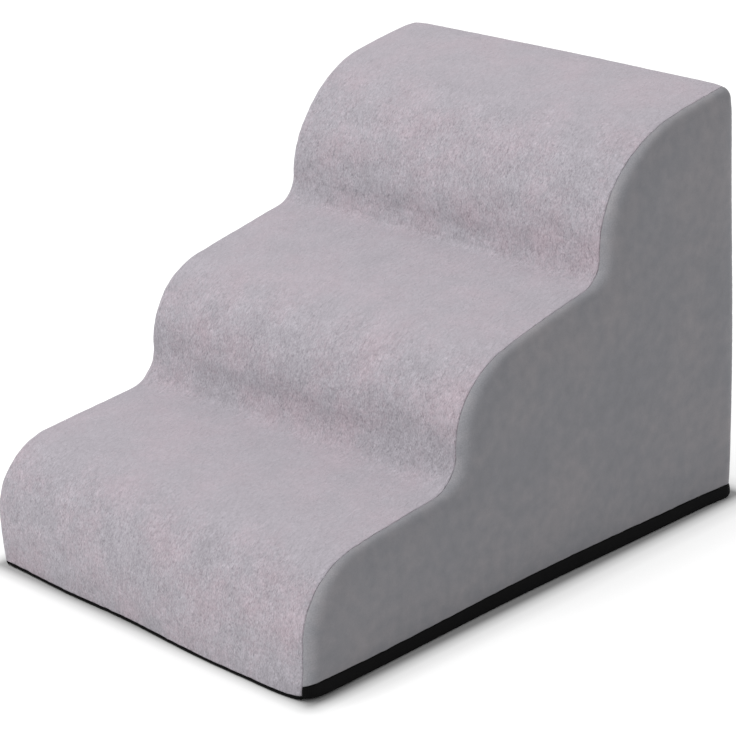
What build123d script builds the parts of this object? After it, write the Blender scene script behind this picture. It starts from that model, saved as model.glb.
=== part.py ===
from build123d import *
import math
import os

# Pet stairs: one foam block with three wave-shaped steps, inside a zipped fabric cover.
# Millimetres, +Z up, +Y from the lowest step to the back, +X to the right seen from the front.
# The origin is on the floor, under the middle of the overall box.

# Foam block and steps, from the front. A riser is measured up to the sharp nose corner, a climb is
# how far a tread rises from its front to its back, and each radius rounds one of those corners.
stairs_width = 400.0
low_riser = 109.0
low_depth = 186.0
low_climb = 20.0
low_nose_radius = 66.0
low_valley_radius = 32.0
middle_riser = 95.0
middle_depth = 185.0
middle_climb = 37.0
middle_nose_radius = 76.0
middle_valley_radius = 24.0
top_riser = 115.0
top_depth = 179.0
top_climb = 24.0
top_nose_radius = 106.0

# Two roundings take up at most this share of the straight run between their corners.
usable_run = 0.98

# Cover. The right seam and the base seams are set in from the edges. The left seam lies further round
# its shoulder and the top seam below the rear top edge, so the tread panel wraps over both.
cover_thickness = 2.0
foam_clearance = 0.3
edge_radius = 10.0
base_edge_radius = 4.5
seam_inset = 9.5
left_seam_margin = 0.4
top_seam_drop = 5.0
binding_height = 12.6
front_reveal = 1.2

# Zip across the lower back. It stops short of each side seam by the end margin.
zip_rise = 22.4
zip_end_margin = 20.5
zip_opening = 11.0
tape_width = 12.0
tape_thickness = 0.6
tape_end = 6.0
coil_width = 2.5
coil_thickness = 2.2
coil_edge_radius = 0.5
coil_gap = 1.0
stop_length = 3.0
stop_thickness = 2.0
stop_edge_radius = 0.5
stop_overlap = 0.5

# Slider and pull
slider_length = 10.0
slider_wall = 1.0
slider_clearance = 0.2
flange_clearance = 0.3
slider_corner_radius = 1.5
post_length = 3.0
bail_leg_radius = 0.8
bail_leg_spacing = 6.0
bail_thickness = 1.2
pull_thickness = 1.2
pull_play = 0.3
pull_length = 22.0
pull_width = 5.0
pull_ring_wall = 1.4
pull_hole_radius = 1.3
relief_clearance = 0.5

steps = [
    (low_riser, low_depth, low_climb, low_nose_radius, low_valley_radius),
    (middle_riser, middle_depth, middle_climb, middle_nose_radius, middle_valley_radius),
    (top_riser, top_depth, top_climb, top_nose_radius, 0.0),
]
stairs_height = sum(riser + climb for riser, _, climb, _, _ in steps)
block_length = sum(depth for _, depth, _, _, _ in steps)

# How far the zip slider's bail stands out behind the back panel, which the overall box includes.
coil_face = tape_thickness + coil_thickness - cover_thickness
wing_face = coil_face + slider_clearance + slider_wall
bail_seat = wing_face + pull_thickness + 2 * pull_play
bail_face = bail_seat + bail_thickness
front_y = -(block_length + bail_face) / 2
back_y = front_y + block_length

half_width = stairs_width / 2
seam_x = half_width - seam_inset
left_seam_x = cover_thickness + left_seam_margin - half_width
seam_back_y = back_y - seam_inset
seam_front_y = front_y + seam_inset
seam_top_z = stairs_height - top_seam_drop
front_lip = cover_thickness + front_reveal

# Heights and depths in the zip, from its middle line and from the inside of the back panel
zip_z = binding_height + zip_rise
zip_half_length = seam_x - zip_end_margin
inner_y = back_y - cover_thickness
tape_face_y = inner_y + tape_thickness
coil_face_y = back_y + coil_face
wing_face_y = back_y + wing_face
bail_seat_y = back_y + bail_seat
bail_face_y = back_y + bail_face
chain_half_height = coil_gap / 2 + coil_width
tape_reach = coil_gap / 2 + tape_width
tape_x = zip_half_length + tape_end
slider_half_height = chain_half_height + flange_clearance + slider_wall

# The slider at rest, at the closed end on the right, and the bail's leg that the pull hangs from
slider_x = zip_half_length - stop_length - flange_clearance - slider_length / 2
slider_travel = 2 * slider_x
pull_x = slider_x - bail_leg_spacing / 2

# Longer than the stairs in any direction, for cuts that run right through
beyond = stairs_height + block_length
base_align = (Align.CENTER, Align.CENTER, Align.MIN)


def slab(x_span, y_span, z_span):
    """A box between two limits along each axis."""
    size = [high - low for low, high in (x_span, y_span, z_span)]
    corner = [low for low, _ in (x_span, y_span, z_span)]
    box = Box(*size, align=(Align.MIN, Align.MIN, Align.MIN))
    return Pos(*corner) * box


def wave_corners():
    """The outline's corners after the front bottom one, as (y, z, wanted radius)."""
    corners = []
    y = front_y
    z = 0.0
    for riser, depth, climb, nose_radius, valley_radius in steps:
        z += riser
        corners.append((y, z, nose_radius))
        y += depth
        z += climb
        corners.append((y, z, valley_radius))
    return corners


def fitted_radii(points, wanted):
    """The wanted radii, made smaller where two roundings would not fit on the run between them."""
    reach = [0.0]
    for i in range(1, len(points) - 1):
        before = (points[i] - points[i - 1]).normalized()
        after = (points[i + 1] - points[i]).normalized()
        half_turn = math.radians(before.get_angle(after)) / 2
        reach.append(math.tan(half_turn))
    reach.append(0.0)
    radii = [0.0] + list(wanted) + [0.0]
    for i in range(len(points) - 1):
        run = (points[i + 1] - points[i]).length
        used = radii[i] * reach[i] + radii[i + 1] * reach[i + 1]
        if used > usable_run * run:
            share = usable_run * run / used
            radii[i] *= share
            radii[i + 1] *= share
    return radii[1:-1]


def wave_face():
    """The side outline of the stairs as a flat face, standing in the YZ plane."""
    corners = wave_corners()
    rounded = [Vector(0, front_y, 0)] + [Vector(0, y, z) for y, z, _ in corners]
    radii = fitted_radii(rounded, [radius for _, _, radius in corners[:-1]])
    wave = FilletPolyline(*rounded, radius=radii)
    rest = Polyline(rounded[-1], Vector(0, back_y, 0), rounded[0])
    return make_face(wave.edges() + rest.edges())


def block(inset):
    """The stairs as a solid with rounded edges, drawn in by the inset on every side."""
    outline = wave_face()
    if inset:
        outline = offset(outline, amount=-inset)
    half = half_width - inset
    body = extrude(outline, amount=half, dir=(1, 0, 0), both=True)
    sides = body.faces().filter_by(Axis.X)
    base_edges = sides.edges().group_by(Axis.Z)[0]
    wave_edges = sides.edges() - base_edges
    rear_edge = body.edges().filter_by(Axis.X).sort_by(Axis.Z)[-1]
    body = fillet(wave_edges + [rear_edge], edge_radius - inset)
    base_loop = body.faces().sort_by(Axis.Z)[0].outer_wire().edges()
    return fillet(base_loop, base_edge_radius - inset)


def cover_panels():
    """The sewn panels of the cover: the skin of the block, cut along its seams."""
    skin = block(0) - block(cover_thickness)
    upper_across = (left_seam_x, seam_x)
    base_across = (-seam_x, seam_x)
    right = (seam_x, beyond)
    left = (-beyond, left_seam_x)
    base_left = (-beyond, -seam_x)
    along = (-beyond, beyond)
    front = (-beyond, seam_front_y)
    rear = (seam_back_y, beyond)
    above_binding = (binding_height, beyond)
    under_binding = (-beyond, binding_height)
    tread_room = slab(upper_across, front, (front_lip, beyond))
    tread_room += slab(upper_across, (-beyond, seam_back_y), above_binding)
    tread_room += slab(upper_across, rear, (seam_top_z, beyond))
    return {
        "side_panel_right": skin & slab(right, along, above_binding),
        "side_panel_left": skin & slab(left, along, above_binding),
        "base_binding_right": skin & slab(right, along, under_binding),
        "base_binding_left": (skin & slab(base_left, along, under_binding)) - tread_room,
        "base_binding_back": skin & slab(base_across, rear, under_binding),
        "base_binding_front": skin & slab(base_across, front, (-beyond, front_lip)),
        "base_sheet": skin & slab(base_across, (seam_front_y, seam_back_y), (-beyond, front_lip)),
        "tread_panel": skin & tread_room,
        "back_panel": (skin & slab(upper_across, rear, above_binding)) - tread_room,
    }


def split_back(panel):
    """The back panel, opened for the zip, let in for its tapes and parted level with it."""
    opening = slab(
        (-zip_half_length, zip_half_length),
        (seam_back_y, beyond),
        (zip_z - zip_opening / 2, zip_z + zip_opening / 2),
    )
    let_in = slab(
        (-tape_x, tape_x),
        (seam_back_y, tape_face_y),
        (zip_z - tape_reach, zip_z + tape_reach),
    )
    panel = panel - opening - let_in
    across = (-beyond, beyond)
    return {
        "back_panel_upper": panel & slab(across, across, (zip_z, beyond)),
        "back_panel_lower": panel & slab(across, across, (-beyond, zip_z)),
    }


def foam_core():
    """The foam block, with a shallow groove behind the zip where the slider presses it in."""
    depth = slider_clearance + slider_wall + relief_clearance
    groove_z = slider_half_height + relief_clearance
    groove = slab(
        (-tape_x, tape_x),
        (inner_y - depth, beyond),
        (zip_z - groove_z, zip_z + groove_z),
    )
    return block(cover_thickness + foam_clearance) - groove


def zip_half(side):
    """One half of the zip, above (1) or below (-1) its middle line: its tape and its coil."""
    coil_x = zip_half_length - stop_length
    tape_z = sorted((zip_z + side * coil_gap / 2, zip_z + side * tape_reach))
    coil_z = sorted((zip_z + side * coil_gap / 2, zip_z + side * chain_half_height))
    tape = slab((-tape_x, tape_x), (inner_y, tape_face_y), tape_z)
    coil = slab((-coil_x, coil_x), (tape_face_y, coil_face_y), coil_z)
    long_edges = coil.edges().filter_by(Axis.X).group_by(Axis.Y)[-1]
    return tape, fillet(long_edges, coil_edge_radius)


def zip_stop(side):
    """The clamp that ends the coils on the right (1) or the left (-1)."""
    half_height = chain_half_height + stop_overlap
    span = sorted((side * (zip_half_length - stop_length), side * zip_half_length))
    stop = slab(
        span,
        (tape_face_y, tape_face_y + stop_thickness),
        (zip_z - half_height, zip_z + half_height),
    )
    return fillet(stop.edges().group_by(Axis.Y)[-1], stop_edge_radius)


def zip_slider():
    """The slider: two wings joined by a post between the coils, with flanges and a bail."""
    ends = (slider_x - slider_length / 2, slider_x + slider_length / 2)
    height = (zip_z - slider_half_height, zip_z + slider_half_height)
    inner_wing = slab(
        ends, (inner_y - slider_clearance - slider_wall, inner_y - slider_clearance), height
    )
    outer_wing = slab(ends, (wing_face_y - slider_wall, wing_face_y), height)
    body = inner_wing + outer_wing
    body = fillet(body.edges().filter_by(Axis.Y), slider_corner_radius)
    flange_y = (tape_face_y + slider_clearance, wing_face_y - slider_wall / 2)
    flange_x = (ends[0] + slider_corner_radius, ends[1] - slider_corner_radius)
    body += slab(flange_x, flange_y, (height[1] - slider_wall, height[1]))
    body += slab(flange_x, flange_y, (height[0], height[0] + slider_wall))
    post_half = coil_gap / 2 - slider_clearance
    body += slab(
        (slider_x - post_length / 2, slider_x + post_length / 2),
        (inner_y - slider_clearance - slider_wall / 2, wing_face_y - slider_wall / 2),
        (zip_z - post_half, zip_z + post_half),
    )
    for side in (-1, 1):
        leg = Cylinder(bail_leg_radius, bail_seat - wing_face + slider_wall, align=base_align)
        foot_x = slider_x + side * bail_leg_spacing / 2
        body += Pos(foot_x, wing_face_y - slider_wall / 2, zip_z) * Rot(-90, 0, 0) * leg
    bridge_outline = SlotCenterToCenter(bail_leg_spacing, 2 * bail_leg_radius)
    bridge = Pos(slider_x, bail_face_y, zip_z) * Rot(90, 0, 0) * extrude(
        bridge_outline, amount=bail_thickness
    )
    return body + bridge


def zip_pull():
    """The pull tab, hanging from the bail's leg by its ring."""
    ring_radius = pull_hole_radius + pull_ring_wall
    tip_z = pull_width / 2 - pull_length
    sheet = Circle(ring_radius) + Pos(0, tip_z) * Circle(pull_width / 2)
    sheet += Pos(0, tip_z / 2) * Rectangle(pull_width, -tip_z)
    sheet -= Circle(pull_hole_radius)
    sheet -= Pos(0, tip_z) * Circle(pull_width / 4)
    tab = extrude(sheet, amount=pull_thickness)
    return Pos(pull_x, wing_face_y + pull_play + pull_thickness, zip_z) * Rot(90, 0, 0) * tab


parts = cover_panels()
parts.update(split_back(parts.pop("back_panel")))
parts["foam_core"] = foam_core()
parts["zip_tape_upper"], parts["zip_coil_upper"] = zip_half(1)
parts["zip_tape_lower"], parts["zip_coil_lower"] = zip_half(-1)
parts["zip_stop_right"] = zip_stop(1)
parts["zip_stop_left"] = zip_stop(-1)
parts["zip_slider"] = zip_slider()
parts["zip_pull"] = zip_pull()

os.makedirs("parts", exist_ok=True)
for name, solid in parts.items():
    export_step(solid, f"parts/{name}.step")

print(f"block {stairs_width:.1f} x {block_length:.1f} x {stairs_height:.1f} mm")
print(f"front at y {front_y:.2f}, back panel at y {back_y:.2f}")
print(f"zip line at z {zip_z:.2f}, slider travel {slider_travel:.2f} mm")
print(f"pull pivot at x {pull_x:.2f}, y {wing_face_y:.2f}, z {zip_z:.2f}")
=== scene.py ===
# %% [markdown]
# # Pet stairs, dressed in Blender
# The stairs are one foam block in a zipped cover. A light plush runs down the three wave-shaped
# steps, grey suede covers the sides and the back, and a black strip binds the bottom edge. The
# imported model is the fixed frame. Everything here is built around it, in metres.

# %% Load the frame
import bpy
import bmesh
import math
import numpy as np
from mathutils import Matrix, Vector, kdtree, noise


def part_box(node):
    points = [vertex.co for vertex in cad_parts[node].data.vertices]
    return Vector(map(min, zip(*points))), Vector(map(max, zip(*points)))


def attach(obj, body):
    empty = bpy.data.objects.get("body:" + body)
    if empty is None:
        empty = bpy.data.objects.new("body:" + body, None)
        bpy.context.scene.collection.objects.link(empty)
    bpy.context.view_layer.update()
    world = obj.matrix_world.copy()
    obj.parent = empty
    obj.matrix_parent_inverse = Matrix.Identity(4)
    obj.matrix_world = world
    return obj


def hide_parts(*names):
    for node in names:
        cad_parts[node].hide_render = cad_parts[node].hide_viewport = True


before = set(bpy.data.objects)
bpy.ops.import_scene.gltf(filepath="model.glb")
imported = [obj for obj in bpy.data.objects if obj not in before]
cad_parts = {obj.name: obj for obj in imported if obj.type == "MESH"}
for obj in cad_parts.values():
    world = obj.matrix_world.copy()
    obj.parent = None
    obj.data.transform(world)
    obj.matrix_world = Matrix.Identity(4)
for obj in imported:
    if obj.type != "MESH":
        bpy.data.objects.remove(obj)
scene = bpy.context.scene
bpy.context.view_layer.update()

# %% [markdown]
# ## Where the seams are
# Every seam lies in an upright or level plane, so a few numbers place them all. They are read
# from the frame, and so the panels made here always meet where the real ones are sewn. The plush
# wraps over the left shoulder and the rear top edge, which hides those two seams from the front
# right.

# %% Read the seams from the frame
tread_low, tread_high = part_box("tread_panel")
side_low, side_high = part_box("side_panel_right")
half_width = side_high.x
seam_x = tread_high.x
left_seam_x = tread_low.x
front_y = tread_low.y
back_y = side_high.y
seam_front_y, seam_back_y = (corner.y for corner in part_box("base_sheet"))
seam_top_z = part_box("back_panel_upper")[1].z
binding_top = side_low.z
front_lip = tread_low.z
print("side seams at x", round(left_seam_x, 4), round(seam_x, 4))
print("top seam at z", round(seam_top_z, 4))
print("base seams at y", round(seam_front_y, 4), round(seam_back_y, 4))
print("binding", round(binding_top, 4), "front lip", round(front_lip, 4))

# %% [markdown]
# ## The camera
# The photograph looks down on the right front corner from far away, so the lens is long. Its
# angles and distance were found from the seam and the base lines, which are straight or known
# curves.

# %% Place the camera
azimuth, elevation, roll = math.radians(45.529), math.radians(21.215), math.radians(-1.895)
camera_place = Vector((1.6440, -1.6171, 1.0545))
focal_length = 133.68
far_limit = 20
behind = Vector((
    math.sin(azimuth) * math.cos(elevation),
    -math.cos(azimuth) * math.cos(elevation),
    math.sin(elevation),
))
level_right = Vector((math.cos(azimuth), math.sin(azimuth), 0))
level_up = behind.cross(level_right)
right = math.cos(roll) * level_right + math.sin(roll) * level_up
up = behind.cross(right)
lens = bpy.data.cameras.new("camera")
lens.lens = focal_length
lens.clip_end = far_limit
camera = bpy.data.objects.new("camera", lens)
turned = Matrix((right, up, behind)).transposed().to_4x4()
camera.matrix_world = Matrix.Translation(camera_place) @ turned
scene.collection.objects.link(camera)
bpy.context.scene.camera = camera
print("camera looks along", [round(v, 3) for v in -behind])

# %% [markdown]
# ## Shader maths
# A material is a net of nodes, which is slow to read as a list of links. This class wraps one
# output, so that `1 - mask` or `cloud * 0.2 + grain` adds the Math nodes by itself. Any other
# node comes from its `node` method: first the settings, then the values or links of the sockets.


# %% A socket that can be reckoned with
class Flow:
    """One output of a node, or the material's own tree when it has no socket yet."""

    def __init__(self, tree, socket=None):
        self.tree = tree
        self.socket = socket

    def node(self, kind, settings=None, inputs=None, output=0):
        """Adds a shader node and returns one of its outputs."""
        made = self.tree.nodes.new("ShaderNode" + kind)
        for name, value in (settings or {}).items():
            if name == "stops":
                ramp = made.color_ramp.elements
                while len(ramp) < len(value):
                    ramp.new(0.5)
                for element, (place, colour) in zip(ramp, value):
                    element.position = place
                    element.color = (*colour, 1)
            else:
                setattr(made, name, value)
        for name, value in (inputs or {}).items():
            if isinstance(value, Flow):
                self.tree.links.new(value.socket, made.inputs[name])
            else:
                made.inputs[name].default_value = value
        return Flow(self.tree, made.outputs[output])

    def speckle(self, place, scale, detail=2.0, roughness=0.5, distortion=0.0):
        """A noise texture of so many cells to the metre."""
        wires = {"Vector": place, "Scale": scale, "Detail": detail}
        wires.update({"Roughness": roughness, "Distortion": distortion})
        return self.node("TexNoise", None, wires)

    def relief(self, strength, depth):
        """This height as bumps of some depth in metres."""
        return self.node("Bump", None, {"Strength": strength, "Distance": depth, "Height": self})

    def math(self, operation, first, second=0.0):
        """One Math node on two flows or numbers."""
        return self.node("Math", {"operation": operation}, {0: first, 1: second})

    def __add__(self, other):
        return self.math("ADD", self, other)

    def __sub__(self, other):
        return self.math("SUBTRACT", self, other)

    def __mul__(self, other):
        return self.math("MULTIPLY", self, other)

    def __rsub__(self, other):
        return self.math("SUBTRACT", other, self)

    __radd__ = __add__
    __rmul__ = __mul__

    def clamped(self):
        """The same value, kept between 0 and 1."""
        return self.node("Clamp", None, {0: self})

    def blend(self, first, second):
        """A colour between two others, by this flow from 0 to 1."""
        colours = {"data_type": "RGBA", "clamp_factor": True}
        return self.node("Mix", colours, {0: self, 6: first, 7: second}, 2)

    def shaded(self, amount):
        """This colour, made lighter or darker by a factor."""
        grey = self.node("CombineColor", None, {0: amount, 1: amount, 2: amount})
        multiply = {"data_type": "RGBA", "blend_type": "MULTIPLY"}
        return self.node("Mix", multiply, {0: 1.0, 6: self, 7: grey}, 2)


def new_finish(name):
    """A new material, its shader and the flow that builds the rest."""
    material = bpy.data.materials.new(name)
    material.use_nodes = True
    tree = material.node_tree
    return material, tree.nodes["Principled BSDF"], Flow(tree)


def plug(shader, **wires):
    """Joins flows to the shader's sockets, or sets numbers on them."""
    for name, value in wires.items():
        socket = shader.inputs[name.replace("_", " ")]
        if isinstance(value, Flow):
            value.tree.links.new(value.socket, socket)
        else:
            socket.default_value = value


print("shader helper ready")

# %% [markdown]
# ## Floor and light
# The stairs stand on a plain white floor in even, soft light. A white sky lights every side, and
# one large lamp high above the front left makes the treads the brightest, the risers next and the
# right side the darkest. A studio's white floor is lit so strongly that it burns out a hand's
# width away from the object. So the floor glows here as painted light, none of it right beside
# the stairs, so that the shadow under their edge stays dark and the glow's ramp keeps it narrow.

# %% Set the stage
sky_strength = 0.80
floor_size = 60.0
key_place = Vector((-0.90, -1.26, 3.24))
key_size = 1.8
key_power = 64.0
glow_reach = 0.1
glow = [(0.03, 0.0), (0.11, 0.33), (0.19, 0.53), (0.36, 0.67), (0.85, 0.73)]

scene.view_settings.view_transform = "Standard"
world = bpy.data.worlds.new("sky")
world.use_nodes = True
sky = world.node_tree.nodes["Background"].inputs
sky["Color"].default_value = (1, 1, 1, 1)
sky["Strength"].default_value = sky_strength
scene.world = world

paper, shader, start = new_finish("floor")
place = start.node("TexCoord", None, None, "Object")
gaps = []
for axis, reach in (("X", half_width), ("Y", -front_y)):
    middle = start.node("SeparateXYZ", None, {0: place}, axis)
    gaps.append(start.math("MAXIMUM", start.math("ABSOLUTE", middle) - reach, 0.0))
away = start.math("SQRT", gaps[0] * gaps[0] + gaps[1] * gaps[1])
stops = [(at, (level, level, level)) for at, level in glow]
light = start.node("ValToRGB", {"stops": stops}, {"Fac": away * (1 / glow_reach)})
plug(shader, Base_Color=(0.40, 0.40, 0.40, 1), Emission_Color=light, Emission_Strength=1.0)
plug(shader, Roughness=1.0, Specular_IOR_Level=0.0)
bm = bmesh.new()
bmesh.ops.create_grid(bm, x_segments=1, y_segments=1, size=floor_size / 2)
floor_mesh = bpy.data.meshes.new("floor")
bm.to_mesh(floor_mesh)
bm.free()
floor_mesh.materials.append(paper)
floor = bpy.data.objects.new("floor", floor_mesh)
scene.collection.objects.link(floor)

key = bpy.data.lights.new("key", "AREA")
key.size = key_size
key.energy = key_power
key_lamp = bpy.data.objects.new("key", key)
key_lamp.location = key_place
key_lamp.rotation_mode = "QUATERNION"
key_lamp.rotation_quaternion = key_place.to_track_quat("Z", "Y")
scene.collection.objects.link(key_lamp)
print("key lamp at", [round(v, 2) for v in key_place])

# %% [markdown]
# ## The outline of the steps
# Seen from the side the stairs are a wave: each riser runs into a round nose, each tread into a
# hollow. The spin operator draws both kinds of stretch. With an angle it turns a vertex into an
# arc, and with a shift and no angle it turns it into a straight run.

# %% Step sizes
steps = [  # riser, depth, climb, nose radius, hollow radius
    (0.109, 0.186, 0.020, 0.066, 0.032),
    (0.095, 0.185, 0.037, 0.076, 0.024),
    (0.115, 0.179, 0.024, 0.106, 0.0),
]
row_pitch = 0.0034
edge_radius = 0.010
base_edge_radius = 0.0045
corner_room = 0.014
tiny = 1e-6  # points nearer than this are one
close = 1e-5  # points nearer than this to a seam lie on it


def wave_corners():
    """The outline's sharp corners as (point, radius), from the front floor line to the back one."""
    corners = [(Vector((0, front_y, 0)), 0.0)]
    place = corners[0][0]
    for riser, depth, climb, nose, hollow in steps:
        place = place + Vector((0, 0, riser))
        corners.append((place, nose))
        place = place + Vector((0, depth, climb))
        corners.append((place, hollow))
    corners.append((Vector((0, back_y, 0)), 0.0))
    return corners


def draw_on(bm, last, target=None, centre=None, angle=0.0, pitch=row_pitch):
    """Draws on from the last vertex, straight or round a centre, and returns the new last one."""
    if target is not None:
        length = (target - last.co).length
    else:
        length = abs(angle) * (last.co - centre).length
    count = max(1, round(length / pitch))
    shift = (target - last.co) / count if target is not None else Vector()
    drawn = bmesh.ops.spin(
        bm, geom=[last], cent=centre or last.co, axis=(1, 0, 0), dvec=shift, angle=angle,
        steps=count,
    )
    return drawn["geom_last"][0]


def draw_outline(bm, pitch=row_pitch):
    """The whole side outline as a loop of short edges in the plane x = 0."""
    corners = wave_corners()
    first = last = bm.verts.new(corners[0][0])
    for before, (corner, radius), after in zip(corners, corners[1:], corners[2:]):
        inward = (corner - before[0]).normalized()
        onward = (after[0] - corner).normalized()
        turn = math.atan2(inward.cross(onward).x, inward.dot(onward))
        tangent = radius * math.tan(abs(turn) / 2)
        last = draw_on(bm, last, target=corner - inward * tangent, pitch=pitch)
        if radius:
            aside = Vector((math.copysign(1, turn), 0, 0)).cross(inward)
            last = draw_on(bm, last, centre=last.co + aside * radius, angle=turn, pitch=pitch)
    for target in (corners[-1][0], corners[0][0]):
        last = draw_on(bm, last, target=target, pitch=pitch)
    bmesh.ops.remove_doubles(bm, verts=bm.verts, dist=tiny)


outline = bmesh.new()
draw_outline(outline)
way_round = sum(edge.calc_length() for edge in outline.edges)
print("outline of", len(outline.verts), "points,", round(way_round, 3), "m round")

# %% [markdown]
# ## The block that every panel is cut from
# The cover fits the foam like a skin, so all its panels can be cut from one rounded block, as the
# real ones are cut to meet at their seams. The outline is filled, pulled out to the full width,
# and its edges are rounded with a bevel: 10 mm round the sides and the rear top, 4.5 mm round the
# base.


# %% Round the block
facing = 0.9  # a face looks a way when its normal goes this far along it


def on_edge(edge, axis, place):
    """True if both ends of an edge lie at one place along an axis."""
    return all(abs(v.co[axis] - place) < tiny for v in edge.verts)


def rounded(bm, edges, radius, rows):
    """Rounds edges with a bevel of so many rows."""
    bmesh.ops.bevel(
        bm, geom=edges, offset=radius, offset_type="OFFSET", affect="EDGES", segments=rows,
        profile=0.5, material=-1, clamp_overlap=False,
    )


def clear_corners(bm):
    """Takes out points close to the outline's sharp corners, where the bevel needs long edges."""
    corners = [corner for corner, radius in wave_corners() if radius == 0]
    near = [
        v for v in bm.verts
        if any(close < (v.co - corner).length < corner_room for corner in corners)
    ]
    bmesh.ops.dissolve_verts(bm, verts=near)


def make_block(pitch=row_pitch, shoulder_rows=16, base_rows=6):
    """The stairs as one closed block with rounded edges."""
    bm = bmesh.new()
    draw_outline(bm, pitch)
    clear_corners(bm)
    bmesh.ops.contextual_create(bm, geom=bm.edges[:])
    bmesh.ops.translate(bm, verts=bm.verts, vec=(-half_width, 0, 0))
    pulled = bmesh.ops.extrude_face_region(bm, geom=bm.faces[:])
    far = [v for v in pulled["geom"] if isinstance(v, bmesh.types.BMVert)]
    bmesh.ops.translate(bm, verts=far, vec=(2 * half_width, 0, 0))
    bmesh.ops.recalc_face_normals(bm, faces=bm.faces)
    top = max(v.co.z for v in bm.verts)
    round_edges = [
        e for e in bm.edges
        if not on_edge(e, 2, 0)
        and (on_edge(e, 0, half_width) or on_edge(e, 0, -half_width) or on_edge(e, 2, top))
    ]
    rounded(bm, round_edges, edge_radius, shoulder_rows)
    base_edges = [
        e for e in bm.edges
        if on_edge(e, 2, 0) and not all(f.normal.z < -facing for f in e.link_faces)
    ]
    rounded(bm, base_edges, base_edge_radius, base_rows)
    return bm


block = make_block()
litres = round(block.calc_volume() * 1000, 2)
print("block of", len(block.verts), "points,", litres, "litres")

# %% [markdown]
# ## What the stuffing does to the cover
# A sewn cover is held along its seams and swells between them. A cloth simulation shows by how
# much: a coarse copy of the block is remeshed, its seams and its zip are pinned, and pressure
# blows it up for 20 frames. Only the shift of each point is kept. It is capped, because foam is
# firm, and every panel made later asks for its share of it, so the panels still meet at the
# seams.

# %% Blow up a coarse copy
voxel = 0.006
pressure = 4.0
frames = 20
greatest_push = 0.0042
pin_reach = 0.005
flat_edge = 0.0006  # this near the left side, x doesn't tell how far its seam is
coarse_pitch = 0.009
near_points = 6
blur = voxel / 8
zip_z = (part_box("zip_coil_upper")[0].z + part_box("zip_coil_lower")[1].z) / 2
zip_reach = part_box("zip_tape_upper")[1].z - zip_z


def seam_gap(place):
    """About how far a point of the skin lies from the nearest seam."""
    gaps = [abs(place.x - seam_x), abs(place.z - binding_top)]
    if place.x > flat_edge - half_width:
        gaps.append(abs(place.x - left_seam_x))
    if place.y > seam_back_y:
        gaps.append(abs(place.z - seam_top_z))
    return min(gaps)


def held(place):
    """True where the seams, the zip or the floor hold the cover."""
    at_zip = place.y > seam_back_y and abs(place.z - zip_z) < zip_reach
    return seam_gap(place) < pin_reach or place.z < binding_top or at_zip


def applied(obj):
    """A new mesh of an object as its modifiers leave it."""
    bpy.context.view_layer.update()
    ready = obj.evaluated_get(bpy.context.evaluated_depsgraph_get())
    return bpy.data.meshes.new_from_object(ready)


def points_of(mesh):
    """A mesh's points as rows of an array."""
    points = np.empty(len(mesh.vertices) * 3, np.float32)
    mesh.vertices.foreach_get("co", points)
    return points.reshape(-1, 3).astype(float)


def blow_up():
    """Rest points of the coarse cover and how far the stuffing pushes each of them."""
    coarse = bpy.data.meshes.new("coarse_cover")
    bm = make_block(pitch=coarse_pitch, shoulder_rows=4, base_rows=2)
    bm.to_mesh(coarse)
    bm.free()
    cover = bpy.data.objects.new("coarse_cover", coarse)
    scene.collection.objects.link(cover)
    remesh = cover.modifiers.new("remesh", "REMESH")
    remesh.mode = "VOXEL"
    remesh.voxel_size = voxel
    cover.data = applied(cover)
    cover.modifiers.clear()
    rest = points_of(cover.data)
    pins = cover.vertex_groups.new(name="pins")
    pins.add([v.index for v in cover.data.vertices if held(v.co)], 1.0, "ADD")
    cloth = cover.modifiers.new("cloth", "CLOTH")
    cloth.settings.use_pressure = True
    cloth.settings.uniform_pressure_force = pressure
    cloth.settings.vertex_group_mass = "pins"
    cloth.settings.effector_weights.gravity = 0
    for step in range(1, frames + 1):
        scene.frame_set(step)
    pushed = points_of(applied(cover)) - rest
    scene.frame_set(1)
    bpy.data.objects.remove(cover)
    return rest, pushed


rest_points, pushes = blow_up()
lengths = np.linalg.norm(pushes, axis=1, keepdims=True)
pushes = pushes * greatest_push / (greatest_push + lengths)
furthest = lengths.max() * 1000
print(len(rest_points), "points, swollen by up to", round(furthest, 1), "mm before the cap")
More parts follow.
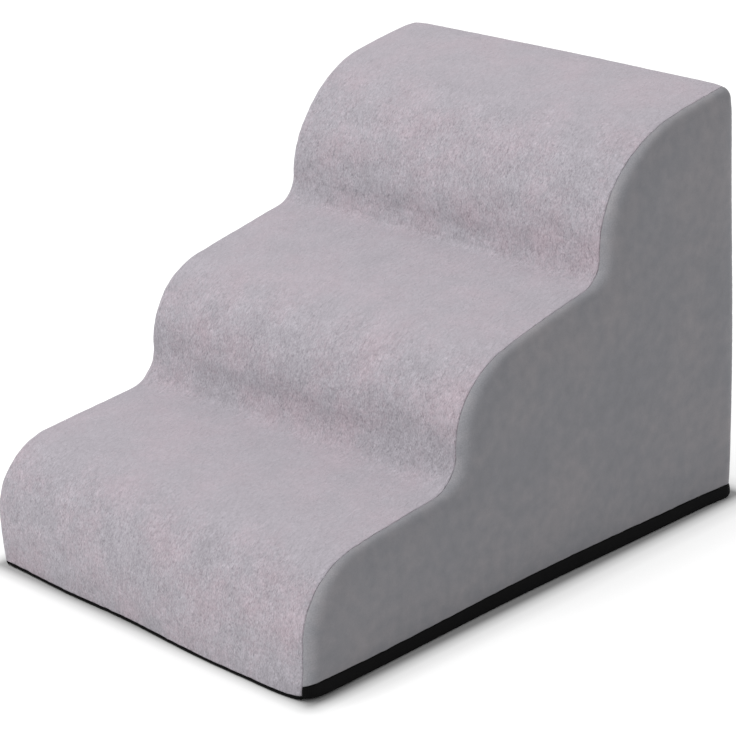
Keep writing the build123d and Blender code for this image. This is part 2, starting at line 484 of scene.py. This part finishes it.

# %% [markdown]
# ## Where this one differs from its pattern
# No sewn cover is quite regular, and the photograph shows where this one isn't. Its low nose
# swells out on the left, its top nose is drawn in there, its front hem is pushed forward, its
# right shoulders sag, and its rear corners are worn round. Each move shifts the points round a
# place by a few millimetres and fades away from it.

# %% Small moves
moves = [  # place, reach along each axis, shift
    ((-0.200, -0.225, 0.080), (0.060, 0.110, 0.075), (-0.0065, 0.0, 0.0010)),
    ((-0.200, 0.125, 0.360), (0.070, 0.075, 0.070), (0.0045, 0.0020, -0.0022)),
    ((0.090, -0.2775, 0.0), (0.110, 0.040, 0.040), (0.0, -0.0085, 0.0)),
    ((0.200, -0.030, 0.0), (0.050, 0.150, 0.060), (-0.0035, 0.0, 0.0)),
    ((0.200, 0.2725, 0.130), (0.016, 0.030, 0.180), (0.0038, 0.0036, 0.0)),
    ((-0.105, -0.2775, 0.0), (0.055, 0.040, 0.040), (0.0, -0.0030, 0.0)),
    ((0.165, -0.2775, 0.0), (0.030, 0.030, 0.020), (0.0, -0.0024, 0.0)),
    ((0.188, -0.2775, 0.010), (0.012, 0.030, 0.040), (0.0032, 0.0, 0.0)),
    ((0.200, -0.2620, 0.012), (0.012, 0.050, 0.020), (0.0, 0.0, 0.0033)),
    ((0.200, -0.2775, 0.0), (0.014, 0.014, 0.010), (-0.0025, 0.0025, 0.0012)),
    ((0.200, 0.0600, 0.0126), (0.020, 0.170, 0.006), (0.0, 0.0, 0.0026)),
    ((-0.200, -0.2700, 0.035), (0.040, 0.040, 0.045), (-0.0040, 0.0, 0.0)),
    ((0.195, 0.150, 0.372), (0.022, 0.050, 0.050), (0.0010, 0.0, -0.0040)),
    ((0.195, -0.050, 0.222), (0.022, 0.045, 0.045), (0.0010, 0.0, -0.0025)),
    ((0.195, -0.250, 0.070), (0.022, 0.045, 0.080), (0.0030, 0.0, -0.0010)),
    ((0.200, 0.2725, 0.398), (0.016, 0.016, 0.016), (-0.0020, -0.0020, -0.0015)),
    ((-0.200, 0.2725, 0.398), (0.016, 0.016, 0.016), (0.0020, -0.0010, -0.0020)),
    ((0.0, 0.2600, 0.398), (0.140, 0.030, 0.030), (0.0, 0.0, 0.0012)),
]


def hand_shift(points):
    """How far the small moves shift each point."""
    shift = np.zeros((len(points), 3))
    for place, reach, move in moves:
        near = np.exp(-(((np.array(points) - place) / reach) ** 2).sum(axis=1))
        shift += near[:, None] * move
    return shift


largest = max(Vector(move).length for _, _, move in moves) * 1000
print(len(moves), "moves, the largest", round(largest, 1), "mm")

# %% [markdown]
# ## How a seam shapes the cloth beside it
# Both panels roll down into a sewn seam. Close by, the edge is a small round roll. Further out
# the thread pulls the cloth into a shallow dip with slight puckers. Each point of a panel
# therefore moves by its distance to the nearest seam. The noise that makes it wobble is seeded,
# so every run sews the same cover. A painted highlight on the suede's shoulders beside a seam is
# kept as an attribute, for the suede's colour.

# %% Move a panel's points
seam_roll = 0.0015
dip = 0.0006
dip_reach = 0.007
pucker = 0.0004
pucker_size = 0.010
wobble = 0.0005
wobble_size = 0.007
wobble_reach = 0.004
wobble_seed = 3
highlight_reach = 0.012
level_share = 0.5
seam_rows = [0.00008, 0.0002, 0.0004, 0.0007, 0.0011, 0.0016, 0.0023, 0.0032]
noise.seed_set(wobble_seed)


def panel_edge(bm, along=None):
    """The points of the panel's edge, or of the part of it at one x, and a tree to search them."""
    edge = [
        v for v in bm.verts
        if v.is_boundary and (along is None or abs(v.co.x - along) < close)
    ]
    tree = kdtree.KDTree(len(edge))
    for i, v in enumerate(edge):
        tree.insert(v.co, i)
    tree.balance()
    return edge, tree


def seam_distance(bm):
    """Each point's distance to the panel's edge."""
    _, tree = panel_edge(bm)
    return np.array([tree.find(v.co)[2] for v in bm.verts])


def stuffing_push(points):
    """The share of the simulated swelling that each point gets."""
    tree = kdtree.KDTree(len(rest_points))
    for i, place in enumerate(rest_points):
        tree.insert(place, i)
    tree.balance()
    near = min(near_points, len(rest_points))
    moved = np.zeros((len(points), 3))
    for i, place in enumerate(points):
        found = tree.find_n(place, near)
        weights = np.array([1 / (d + blur) ** 2 for _, _, d in found])
        moved[i] = weights @ pushes[[k for _, k, _ in found]] / weights.sum()
    return moved + hand_shift(points)


def seam_moved(points, normals, distance, depth=1.0):
    """Where points at some distance from a seam go as the stuffing and the seam move them."""
    rolled = np.clip(seam_roll - distance, 0, seam_roll)
    down = seam_roll - np.sqrt(seam_roll**2 - rolled**2) + dip * np.exp(-distance / dip_reach)
    wave = np.array([noise.noise(Vector(p) / pucker_size) for p in points])
    down += pucker * wave * np.exp(-distance / dip_reach) * np.clip(distance / seam_roll, 0, 1)
    sway = np.array([noise.noise_vector(Vector(p) / wobble_size) for p in points])
    points = points + sway * (wobble * depth * np.exp(-distance / wobble_reach))[:, None]
    return points + stuffing_push(points) - normals * (down * depth)[:, None]


def sewn(bm, depth=1.0):
    """Moves a panel's points as its stuffing and its seams do."""
    bm.normal_update()
    points = np.array([v.co for v in bm.verts])
    normals = np.array([v.normal for v in bm.verts])
    for v, place in zip(bm.verts, seam_moved(points, normals, seam_distance(bm), depth)):
        v.co = place
    return bm


def paint_shoulder_highlight(bm, seam):
    """Paints a highlight on the shoulder beside a seam, as a paler colour: weaker where it runs
    level.
    """
    bm.normal_update()
    layer = bm.verts.layers.float.new("shoulder")
    edge, tree = panel_edge(bm, seam)
    for v in bm.verts:
        _, i, distance = tree.find(v.co)
        # the painted highlight is weaker where the seam runs level, as the shoulder there faces the
        # lamp
        highlight_strength = 1 - level_share * max(0.0, edge[i].normal.z) ** 4
        v[layer] = highlight_strength * math.exp(-((distance / (highlight_reach * highlight_strength)) ** 4))


print("seam roll", seam_roll * 1000, "mm")

# %% [markdown]
# ## Cutting a panel
# The bisect operator cuts along a plane and can drop what lies beyond it. The same operator also
# draws extra rows of points: many close to a seam, where the cloth curves sharply, and an even
# grid on the flat sides, which the bevel has left as one big face each.


# %% Cutting tools
quite_flat = 0.9999


def axis_vector(axis):
    """A unit vector along an axis, 0 to 2."""
    return Vector([float(axis == i) for i in range(3)])


def cut(bm, axis, place, drop=None, faces=None):
    """Cuts along a plane and drops what lies above or below it, if asked."""
    if faces is None:
        geometry = bm.verts[:] + bm.edges[:] + bm.faces[:]
    else:
        geometry = list({part for f in faces for part in (*f.verts, *f.edges)}) + faces
    bmesh.ops.bisect_plane(
        bm, geom=geometry, dist=tiny, plane_co=axis_vector(axis) * place,
        plane_no=axis_vector(axis), clear_outer=drop == "above", clear_inner=drop == "below",
    )


def cut_panel(limits):
    """A panel of the block between limits, given as (axis, low, high) with None for no limit."""
    bm = block.copy()
    for axis, low, high in limits:
        if low is not None:
            cut(bm, axis, low, "below")
        if high is not None:
            cut(bm, axis, high, "above")
    return bm


def add_rows(bm, axis, edge, toward, rows=seam_rows):
    """Rows of points beside a seam, on the panel's side of it."""
    for gap in rows:
        cut(bm, axis, edge + toward * gap)


def add_grid(bm, axis, pitch, flat=None):
    """Even cuts across one axis, through everything or only the flat faces that look one way."""
    low = min(v.co[axis] for v in bm.verts)
    high = max(v.co[axis] for v in bm.verts)
    count = round((high - low) / pitch)
    for i in range(1, count):
        faces = None
        if flat is not None:
            faces = [f for f in bm.faces if f.normal.dot(flat) > quite_flat]
        cut(bm, axis, low + (high - low) * i / count, faces=faces)


def drop_where(bm, unwanted):
    """Takes out the faces whose middle an unwanted place holds."""
    gone = [f for f in bm.faces if unwanted(f.calc_center_median())]
    bmesh.ops.delete(bm, geom=gone, context="FACES")


def repeat(bm, shift, count):
    """Repeats all of a bmesh in a row, by a spin that copies and doesn't turn."""
    bmesh.ops.spin(
        bm, geom=bm.verts[:] + bm.edges[:] + bm.faces[:], cent=(0, 0, 0), axis=(1, 0, 0),
        dvec=shift, angle=0, steps=count - 1, use_duplicate=True,
    )


print("cutting tools ready")

# %% [markdown]
# ## Plush for the treads
# The plush is a short pile. Its colour is a lavender grey that drifts to rose in broad patches,
# with darker strokes where the pile has been brushed and a fine grain of tips over both. The
# pattern follows the cloth, so it reads a UV map that is laid along the steps, in metres.


# %% Plush finish
def plush_finish():
    """Short brushed pile, lavender grey."""
    material, shader, start = new_finish("tread_plush")
    cloth = start.node("UVMap", {"uv_map": "cloth"})
    fluffy = start.node("Attribute", {"attribute_name": "fluffy"}, None, "Fac")
    shifted = start.node("Mapping", None, {0: cloth, 1: (0.3, 0.1, 0.0)})
    nap = start.node("Mapping", None, {0: cloth, 3: (1.0, 0.42, 1.0)})
    patch = start.speckle(shifted, 15.0, detail=4.0, roughness=0.6)
    lay = start.speckle(cloth, 38.0)
    strand = start.speckle(nap, 330.0, detail=3.0, roughness=0.7, distortion=0.5)
    tips = start.speckle(nap, 1000.0, roughness=0.7)
    tint = start.speckle(cloth, 260.0, detail=1.0)
    rose = ((patch - 0.42) * 3.6 + (tint - 0.5) * 1.2).clamped()
    rose = (rose - 0.25) * (fluffy * 0.8 + 0.2) + 0.25
    speck = start.node("TexVoronoi", None, {"Vector": nap, "Scale": 170.0}, "Distance")
    dots = ((0.16 - speck) * 9.0).clamped()
    colour = rose.blend((0.360, 0.339, 0.373, 1), (0.390, 0.332, 0.369, 1))
    curl = start.speckle(cloth, 75.0, detail=1.0)
    grain = ((strand - 0.5) * 0.90 + (tips - 0.5) * 1.25) * (0.4 + curl * 1.2) - dots * 0.15
    # the pile is drawn grainier on risers and noses, and darker there as painted shade
    tone = 1.06 + (patch - 0.5) * 0.12 + ((lay - 0.5) * 0.34 + grain - 0.08) * fluffy
    bump = (strand * 0.65 + tips * 0.35).relief(1.0, 0.0018)
    plug(shader, Base_Color=colour.shaded(tone), Roughness=0.95, Normal=bump)
    plug(shader, Sheen_Weight=0.12, Sheen_Roughness=0.6, Specular_IOR_Level=0.1)
    return material


plush = plush_finish()
print("plush nodes", len(plush.node_tree.nodes))

# %% [markdown]
# ## Suede for the sides and back
# The side cloth is smooth and almost plain: a mid grey with faint clouds and a very fine nap. It
# needs no direction, so its pattern reads the object's own coordinates and never stretches.


# %% Suede finish
def suede_finish():
    """Fine suede-like cloth, mid grey, with a painted highlight on the shoulders beside the seams.
    """
    material, shader, start = new_finish("side_suede")
    place = start.node("TexCoord", None, None, "Object")
    shoulder = start.node("Attribute", {"attribute_name": "shoulder"}, None, "Fac")
    cloud = start.speckle(place, 11.0, detail=4.0, roughness=0.6)
    smudge = start.speckle(place, 90.0)
    nap = start.speckle(place, 900.0, roughness=0.6)
    warm = ((cloud - 0.4) * 3.0 + (smudge - 0.5) * 1.6).clamped()
    colour = warm.blend((0.177, 0.177, 0.190, 1), (0.189, 0.182, 0.191, 1))
    tone = 1.0 + (cloud - 0.5) * 0.16 + (smudge - 0.5) * 0.24 + (nap - 0.5) * 0.22
    # painted highlight: paler on the shoulders beside the seams, with a little of the nap in it
    paler = 1.0 + shoulder * (0.44 + (nap - 0.5) * 0.5)
    bump = (nap + smudge).relief(0.3, 0.0004)
    plug(shader, Base_Color=colour.shaded(tone * paler), Roughness=0.9, Normal=bump)
    plug(shader, Sheen_Weight=0.1, Sheen_Roughness=0.5, Specular_IOR_Level=0.15)
    return material


suede = suede_finish()
print("suede nodes", len(suede.node_tree.nodes))

# %% [markdown]
# ## Black cloth for the binding and the base
# The binding is a plain black weave, so dull that only its grain shows. Two sets of fine ribs
# cross on the cloth's own map.


# %% Black woven finish
def woven_finish(name, colour, threads, sheen):
    """A plain weave with so many threads to the metre."""
    material, shader, start = new_finish(name)
    cloth = start.node("UVMap", {"uv_map": "cloth"})
    ribs = []
    for way in "XY":
        bands = {"wave_type": "BANDS", "wave_profile": "SIN", "bands_direction": way}
        wires = {"Vector": cloth, "Scale": threads, "Distortion": 0.3}
        ribs.append(start.node("TexWave", bands, wires, "Fac"))
    wear = start.speckle(cloth, 45.0, detail=3.0)
    weave = ribs[0] * ribs[1]
    tone = 0.75 + weave * 0.5 + (wear - 0.5) * 0.5
    base = start.node("RGB")
    base.socket.default_value = (*colour, 1)
    bump = weave.relief(0.4, 0.0004)
    plug(shader, Base_Color=base.shaded(tone), Roughness=0.85 - weave * 0.1, Normal=bump)
    plug(shader, Sheen_Weight=sheen, Sheen_Roughness=0.4, Specular_IOR_Level=0.1)
    return material


binding = woven_finish("binding_cloth", (0.0022, 0.0022, 0.0024), 260.0, 0.008)
base_cloth = woven_finish("base_cloth", (0.014, 0.014, 0.015), 180.0, 0.03)
print("woven finishes ready")

# %% [markdown]
# ## From a bmesh to a piece
# Every piece ends the same way: the mesh goes into an object at the origin with its finish, the
# object rides on its body, and the frame nodes it stands for are hidden. A cloth panel also gets
# its thickness, from a Solidify modifier that grows inwards.


# %% Finish a piece
cloth_thickness = 0.0012


def make_piece(name, bm, finish, nodes=(), body="stairs", thickness=0.0):
    """Turns a bmesh into a piece of the stairs."""
    mesh = bpy.data.meshes.new(name)
    bm.to_mesh(mesh)
    bm.free()
    mesh.materials.append(finish)
    mesh.shade_smooth()
    piece = bpy.data.objects.new(name, mesh)
    scene.collection.objects.link(piece)
    if thickness:
        wall = piece.modifiers.new("thickness", "SOLIDIFY")
        wall.thickness = thickness
        wall.offset = -1
        wall.use_quality_normals = True
    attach(piece, body)
    if nodes:
        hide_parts(*nodes)
    print(name, len(mesh.polygons), "faces")
    return piece


def lay_map(bm, across, along):
    """Lays the cloth's own map over a panel, in metres. Call it before the panel is stuffed."""
    layer = bm.loops.layers.uv.new("cloth")
    for face in bm.faces:
        for loop in face.loops:
            loop[layer].uv = (across(loop.vert.co), along(loop.vert.co))


print("piece tools ready")

# %% [markdown]
# ## The plush panel
# One length of plush runs from the floor line over all three steps. It is the middle of the
# block, with columns of points across and closer ones beside the seams. Its map runs along the
# wave, so the brushed strokes bend over each nose with the cloth.

# %% Tread panel
tread_pitch = 0.0034
trodden_and_lit = 0.62


def wave_on_cloth():
    """The wave's points from the floor to the rear top edge, and the length along it at each."""
    line = []
    for v in outline.verts:
        line.append(v.co.yz)
        if v.co.y > back_y - tiny:
            break
    line = np.array(line)
    runs = np.linalg.norm(np.diff(line, axis=0), axis=1)
    return line, np.concatenate(([0.0], np.cumsum(runs)))


def mark_pile(bm):
    """Notes how fluffy the pile is, and its painted shade: full on risers and noses, less where
    trodden.
    """
    bm.normal_update()
    layer = bm.verts.layers.float.new("fluffy")
    for v in bm.verts:
        v[layer] = 1 - trodden_and_lit * max(0.0, v.normal.z) ** 4


wave_line, wave_length = wave_on_cloth()
wave_tree = kdtree.KDTree(len(wave_line))
for i, (y, z) in enumerate(wave_line):
    wave_tree.insert((0, y, z), i)
wave_tree.balance()


def along_wave(place):
    """How far along the wave a point lies."""
    nearest = wave_tree.find((0, place.y, place.z))[1]
    end = min(nearest + 1, len(wave_line) - 1)
    run = Vector(wave_line[end] - wave_line[end - 1]).normalized()
    return wave_length[nearest] + (place.yz - Vector(wave_line[nearest])).dot(run)


bm = cut_panel([(0, left_seam_x, seam_x), (2, front_lip, None)])
for axis, edge in ((1, seam_back_y), (2, seam_top_z)):
    cut(bm, axis, edge)
drop_where(bm, lambda p: p.y > seam_back_y and p.z < seam_top_z)
add_grid(bm, 0, tread_pitch)
tread_seams = [(0, left_seam_x, 1), (0, seam_x, -1), (2, seam_top_z, 1), (2, front_lip, 1)]
for axis, edge, toward in tread_seams:
    add_rows(bm, axis, edge, toward)
lay_map(bm, lambda p: p.x, along_wave)
mark_pile(bm)
tread = make_piece(
    "plush_tread", sewn(bm), plush, ["tread_panel"], thickness=cloth_thickness
)

# %% [markdown]
# ## The suede panels
# Each side panel is cut to the wave and wraps over the shoulder to the seam. The back is two
# panels, because the zip parts it: they meet beside the zip, and between its ends their edges are
# folded back to make the opening.

# %% Side panels
flat_pitch = 0.006
for name, side, seam in (("left", -1, left_seam_x), ("right", 1, seam_x)):
    limits = [(0, seam, None)] if side > 0 else [(0, None, seam)]
    bm = cut_panel(limits + [(2, binding_top, None)])
    for axis in (1, 2):
        add_grid(bm, axis, flat_pitch, flat=Vector((side, 0, 0)))
    add_rows(bm, 0, seam, side)
    add_rows(bm, 2, binding_top, 1)
    paint_shoulder_highlight(bm, seam)
    panel = make_piece(
        "suede_side_" + name, sewn(bm), suede, ["side_panel_" + name],
        thickness=cloth_thickness,
    )

# %% Back panels with the zip's opening
zip_half_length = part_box("zip_stop_right")[1].x
zip_opening = 0.011
back_pitch = 0.005
hem_rows = seam_rows[::2]


def back_panel(name, side):
    """The back cloth above (1) or below (-1) the zip."""
    bm = cut_panel([(0, left_seam_x, seam_x), (1, seam_back_y, None), (2, binding_top, seam_top_z)])
    cut(bm, 2, zip_z, "below" if side > 0 else "above")
    add_grid(bm, 0, back_pitch)
    add_grid(bm, 2, back_pitch, flat=Vector((0, 1, 0)))
    hem = zip_z + side * zip_opening / 2
    for end in (-1, 1):
        cut(bm, 0, end * zip_half_length)
        add_rows(bm, 0, end * zip_half_length, end, hem_rows)
        add_rows(bm, 0, seam_x if end > 0 else left_seam_x, -end)
    cut(bm, 2, hem)
    add_rows(bm, 2, hem, side)
    drop_where(bm, lambda p: abs(p.x) < zip_half_length and abs(p.z - zip_z) < zip_opening / 2)
    add_rows(bm, 2, zip_z, side, hem_rows)
    add_rows(bm, 2, seam_top_z if side > 0 else binding_top, -side)
    piece = make_piece(
        "suede_back_" + name, sewn(bm), suede, ["back_panel_" + name],
        thickness=cloth_thickness,
    )
    return piece


back_panel("upper", 1)
back_panel("lower", -1)

# %% [markdown]
# ## The black binding and base
# The binding goes round the foot of the stairs. Its padding makes it stand a little proud between
# its two seams, except below, where it rests on the floor. Under the front of the plush only a
# thin line of it shows.

# %% Binding strips
binding_swell = 0.0013
binding_pitch = 0.004
binding_rows = 0.0011
swell_reach = 0.003
binding_roll = 0.7  # the share of a full seam's roll


def binding_strip(name, limits, along_axis, seams):
    """One strip of the binding, with its rows beside the seams it is sewn into."""
    bm = cut_panel(limits)
    for axis, edge in ((0, left_seam_x), (1, seam_front_y), (2, front_lip)):
        cut(bm, axis, edge)
    drop_where(
        bm, lambda p: left_seam_x < p.x < -seam_x and p.y < seam_front_y and p.z > front_lip
    )
    add_grid(bm, along_axis, binding_pitch)
    add_grid(bm, 2, binding_rows)
    for axis, edge, toward in seams:
        add_rows(bm, axis, edge, toward, hem_rows)
    lay_map(bm, lambda p: p[along_axis], lambda p: p.z - abs(p[1 - along_axis]))
    bm.normal_update()
    distance = seam_distance(bm)
    swell = [
        v.normal * binding_swell * (1 - math.exp(-d / swell_reach))
        for v, d in zip(bm.verts, distance)
    ]
    sewn(bm, binding_roll)
    for v, push in zip(bm.verts, swell):
        v.co += push
        v.co.z = max(v.co.z, 0.0)
    return make_piece(
        "binding_" + name, bm, binding, ["base_binding_" + name],
        thickness=cloth_thickness,
    )


foot = (2, None, binding_top)
top_seam = (2, binding_top, -1)
between = (0, -seam_x, seam_x)
strips = [  # name, limits, axis along it, seams, length
    ("right", [(0, seam_x, None), foot], 1, [top_seam, (0, seam_x, 1)], back_y - front_y),
    ("left", [(0, None, -seam_x), foot], 1, [top_seam, (0, -seam_x, -1)], back_y - front_y),
    (
        "back", [between, (1, seam_back_y, None), foot],
        0, [top_seam, (1, seam_back_y, 1)], 2 * seam_x,
    ),
    (
        "front", [between, (1, None, seam_front_y), (2, None, front_lip)],
        0, [(2, front_lip, -1), (1, seam_front_y, -1)], 2 * seam_x,
    ),
]
for name, limits, along_axis, seams, length in strips:
    strip = binding_strip(name, limits, along_axis, seams)
print("binding swells by", binding_swell * 1000, "mm")

# %% Base cloth with its dots
dot_pitch = 0.010
dot_radius = 0.0011
dot_height = 0.0005
base_pitch = 0.012
base_roll = 0.6  # the share of a full seam's roll

bm = cut_panel([between, (1, seam_front_y, seam_back_y), (2, None, front_lip)])
for axis in (0, 1):
    add_grid(bm, axis, base_pitch)
base_seams = [(0, -seam_x, 1), (0, seam_x, -1), (1, seam_front_y, 1), (1, seam_back_y, -1)]
for axis, edge, toward in base_seams:
    add_rows(bm, axis, edge, toward, hem_rows)
lay_map(bm, lambda p: p.x, lambda p: p.y)
sewn(bm, base_roll)
bmesh.ops.translate(bm, verts=bm.verts, vec=(0, 0, dot_height))
base = make_piece(
    "base_cloth", bm, base_cloth, ["base_sheet"], thickness=cloth_thickness
)

columns = int(2 * seam_x / dot_pitch) - 1
ranks = int((seam_back_y - seam_front_y) / dot_pitch) - 1
corner_dot = Vector((
    -(columns - 1) / 2 * dot_pitch,
    (seam_front_y + seam_back_y) / 2 - (ranks - 1) / 2 * dot_pitch,
    dot_height,
))
bm = bmesh.new()
flatten = Matrix.Diagonal((dot_radius, dot_radius, dot_height, 1))
bmesh.ops.create_icosphere(
    bm, subdivisions=1, radius=1, matrix=Matrix.Translation(corner_dot) @ flatten
)
repeat(bm, (dot_pitch, 0, 0), columns)
repeat(bm, (0, dot_pitch, 0), ranks)
dots = make_piece("base_dots", bm, base_cloth)
print(columns * ranks, "dots under the base")

# %% [markdown]
# ## The foam inside
# The foam block fills the cover. It is the same block again, drawn in by the cloth's thickness
# and pressed in along the seams and behind the zip, so that nothing of it pokes through.


# %% Foam finish
def foam_finish():
    """Open-cell foam, pale cream."""
    material, shader, start = new_finish("core_foam")
    place = start.node("TexCoord", None, None, "Object")
    cells = start.node("TexVoronoi", None, {"Vector": place, "Scale": 900.0}, "Distance")
    cloud = start.speckle(place, 9.0, detail=3.0)
    colour = cloud.blend((0.80, 0.77, 0.66, 1), (0.74, 0.69, 0.55, 1))
    bump = cells.relief(0.7, 0.0008)
    plug(shader, Base_Color=colour.shaded(0.8 + cells * 0.3), Roughness=1.0, Normal=bump)
    return material


stuffing = foam_finish()
print("foam nodes", len(stuffing.node_tree.nodes))

# %% Foam block
foam_inset = 0.0023
groove_depth = 0.0017
groove_room = 0.0005
groove_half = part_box("zip_slider")[1].z - zip_z + groove_room
foam_pitch = 0.009
foam_grid = 0.014

bm = make_block(pitch=foam_pitch, shoulder_rows=6, base_rows=3)
for seam in (left_seam_x, seam_x):
    cut(bm, 0, seam)
for side in (-1, 1):
    cut(bm, 2, zip_z + side * groove_half)
    cut(bm, 2, zip_z + side * (groove_half + groove_depth))
    for axis in (1, 2):
        add_grid(bm, axis, foam_grid, flat=Vector((side, 0, 0)))
add_grid(bm, 0, foam_grid)
add_grid(bm, 2, foam_grid, flat=Vector((0, 1, 0)))
add_grid(bm, 1, foam_grid, flat=Vector((0, 0, -1)))
bm.normal_update()
points = np.array([v.co for v in bm.verts])
pushed = stuffing_push(points)
for v, push in zip(bm.verts, pushed):
    pressed = foam_inset + seam_roll * math.exp(-((seam_gap(v.co) / dip_reach) ** 2))
    in_groove = v.co.y > seam_back_y and abs(v.co.z - zip_z) < groove_half + close
    v.co += Vector(push) - v.normal * (pressed + groove_depth * in_groove)
foam = make_piece("foam_block", bm, stuffing, ["foam_core"])

# %% [markdown]
# ## The zip
# The zip is a coil zip. Each tape is a woven strip, and its coil is one nylon wire wound into a
# flattened helix. The spin operator winds it: a small ring turns round the coil's axis and shifts
# along it at every step. The two coils are half a turn apart, so the loops of one mesh with the
# loops of the other, as they do behind a closed slider.


# %% Nylon and metal finishes
def nylon_finish():
    """Black nylon wire."""
    material, shader, start = new_finish("zip_coil")
    place = start.node("TexCoord", None, None, "Object")
    scuff = start.speckle(place, 400.0)
    base = start.node("RGB")
    base.socket.default_value = (0.020, 0.020, 0.022, 1)
    plug(shader, Base_Color=base.shaded(0.8 + scuff * 0.4), Roughness=0.28 + scuff * 0.2)
    return material


def enamel_finish():
    """Black enamelled zinc, a little worn at the high spots."""
    material, shader, start = new_finish("zip_metal")
    place = start.node("TexCoord", None, None, "Object")
    cloud = start.speckle(place, 900.0, detail=3.0, roughness=0.7)
    worn = ((cloud - 0.66) * 8.0).clamped()
    colour = worn.blend((0.022, 0.022, 0.024, 1), (0.16, 0.155, 0.15, 1))
    bump = cloud.relief(0.15, 0.0002)
    plug(shader, Base_Color=colour, Roughness=0.30 + cloud * 0.15, Normal=bump)
    plug(shader, Metallic=worn * 0.8, Coat_Weight=0.5, Coat_Roughness=0.15)
    return material


nylon = nylon_finish()
enamel = enamel_finish()
tape_cloth = woven_finish("zip_tape", (0.014, 0.014, 0.016), 620.0, 0.02)
print("zip finishes ready")

# %% Tapes and coils
wire_radius = 0.00030
coil_pitch = 0.00125
interlock = 0.00035
coil_steps = 8
wire_sides = 5
tape_cells = 0.002

for name, side in (("upper", 1), ("lower", -1)):
    low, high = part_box("zip_tape_" + name)
    size, middle = high - low, (high + low) / 2
    bm = bmesh.new()
    upright = Matrix.Rotation(-math.pi / 2, 4, "X") @ Matrix.Diagonal((size.x, size.z, 1, 1))
    bmesh.ops.create_grid(
        bm, x_segments=round(size.x / tape_cells), y_segments=round(size.z / tape_cells), size=0.5,
        matrix=Matrix.Translation((middle.x, high.y, middle.z)) @ upright,
    )
    lay_map(bm, lambda p: p.x, lambda p: p.z)
    tape = make_piece(
        "zip_tape_cloth_" + name, bm, tape_cloth, ["zip_tape_" + name],
        thickness=size.y,
    )

    low, high = (corner.copy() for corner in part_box("zip_coil_" + name))
    (low if side > 0 else high).z = zip_z - side * interlock
    size, middle = high - low, (high + low) / 2
    turns = int((size.x - coil_pitch / 2 - 2 * wire_radius) / coil_pitch)
    spread = size.y / 2 - wire_radius
    first_x = middle.x - turns * coil_pitch / 2 + side * coil_pitch / 4
    first_turn = Matrix.Translation((first_x, middle.y + spread, middle.z))
    bm = bmesh.new()
    bmesh.ops.create_circle(bm, segments=wire_sides, radius=wire_radius, matrix=first_turn)
    bmesh.ops.spin(
        bm, geom=bm.edges[:], cent=middle, axis=(1, 0, 0), angle=2 * math.pi,
        dvec=(coil_pitch / coil_steps, 0, 0), steps=coil_steps,
    )
    repeat(bm, (coil_pitch, 0, 0), turns)
    bmesh.ops.remove_doubles(bm, verts=bm.verts, dist=tiny)
    bmesh.ops.holes_fill(bm, edges=bm.edges)
    bmesh.ops.recalc_face_normals(bm, faces=bm.faces)
    flattened = (1, 1, size.z / size.y)
    bmesh.ops.scale(bm, vec=flattened, space=Matrix.Translation(-middle), verts=bm.verts)
    make_piece("zip_coil_wire_" + name, bm, nylon, ["zip_coil_" + name])
print(turns, "turns to each coil")

# %% [markdown]
# ## The cast parts of the zip
# The stops, the slider and its pull are zinc castings under enamel, so none of their edges is
# sharp. Each keeps the frame's shape: its loose triangles are merged, flat ones become one face
# again, and the bevel operator rounds every sharp edge.

# %% Stops, slider and pull
cast_round = 0.00022
sharp_angle = math.radians(50)
flat_angle = math.radians(1)
small_face = 1e-6  # square metres

for node in ("zip_stop_left", "zip_stop_right", "zip_slider", "zip_pull"):
    bm = bmesh.new()
    bm.from_mesh(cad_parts[node].data)
    bmesh.ops.remove_doubles(bm, verts=bm.verts, dist=tiny)
    bmesh.ops.dissolve_limit(bm, angle_limit=flat_angle, verts=bm.verts, edges=bm.edges)
    sharp = [e for e in bm.edges if e.is_manifold and e.calc_face_angle() > sharp_angle]
    bmesh.ops.bevel(
        bm, geom=sharp, offset=cast_round, affect="EDGES", segments=2, profile=0.5, material=-1,
        clamp_overlap=True,
    )
    body = "stairs" if "stop" in node else node
    casting = make_piece(node + "_cast", bm, enamel, [node], body=body)
    for face in casting.data.polygons:
        face.use_smooth = face.area < small_face

# %% [markdown]
# ## The thread beside the zip
# A row of stitches runs along the cloth above and below the zip and holds its tape. One stitch is
# drawn as a thin capsule, repeated along the row, and moved as the cloth under it is.


# %% Rows of stitches
def thread_finish():
    """Grey polyester thread."""
    material, shader, start = new_finish("thread")
    place = start.node("TexCoord", None, None, "Object")
    twist = start.speckle(place, 2500.0, detail=1.0)
    base = start.node("RGB")
    base.socket.default_value = (0.115, 0.115, 0.123, 1)
    plug(shader, Base_Color=base.shaded(0.7 + twist * 0.6), Roughness=0.6)
    return material


stitch_length = 0.0031
stitch_pitch = 0.0037
thread_radius = 0.00030
thread_sides = 6
stitch_margin = 0.0022
thread = thread_finish()

for name, side in (("upper", 1), ("lower", -1)):
    stitches = int(2 * zip_half_length / stitch_pitch)
    row_z = zip_z + side * (zip_opening / 2 + stitch_margin)
    first = Matrix.Translation((-(stitches - 1) / 2 * stitch_pitch, back_y, row_z))
    slim = Matrix.Diagonal((stitch_length / 2, thread_radius, thread_radius, 1))
    lying = Matrix.Rotation(math.pi / 2, 4, "Y")
    bm = bmesh.new()
    bmesh.ops.create_uvsphere(
        bm, u_segments=thread_sides, v_segments=thread_sides, radius=1,
        matrix=first @ slim @ lying,
    )
    repeat(bm, (stitch_pitch, 0, 0), stitches)
    under = np.array([(v.co.x, back_y, row_z) for v in bm.verts])
    margin = np.full(len(under), stitch_margin)
    moved = seam_moved(under, np.array([(0.0, 1.0, 0.0)]), margin)
    for v, old, new in zip(bm.verts, under, moved):
        v.co += Vector(new - old)
    make_piece("zip_stitches_" + name, bm, thread)
print(stitches, "stitches to each row")

# %% [markdown]
# At the end the scene is brought up to date. Cloth may stand a little proud of the frame but not
# grow past it.

# %% Update the scene
bpy.context.view_layer.update()
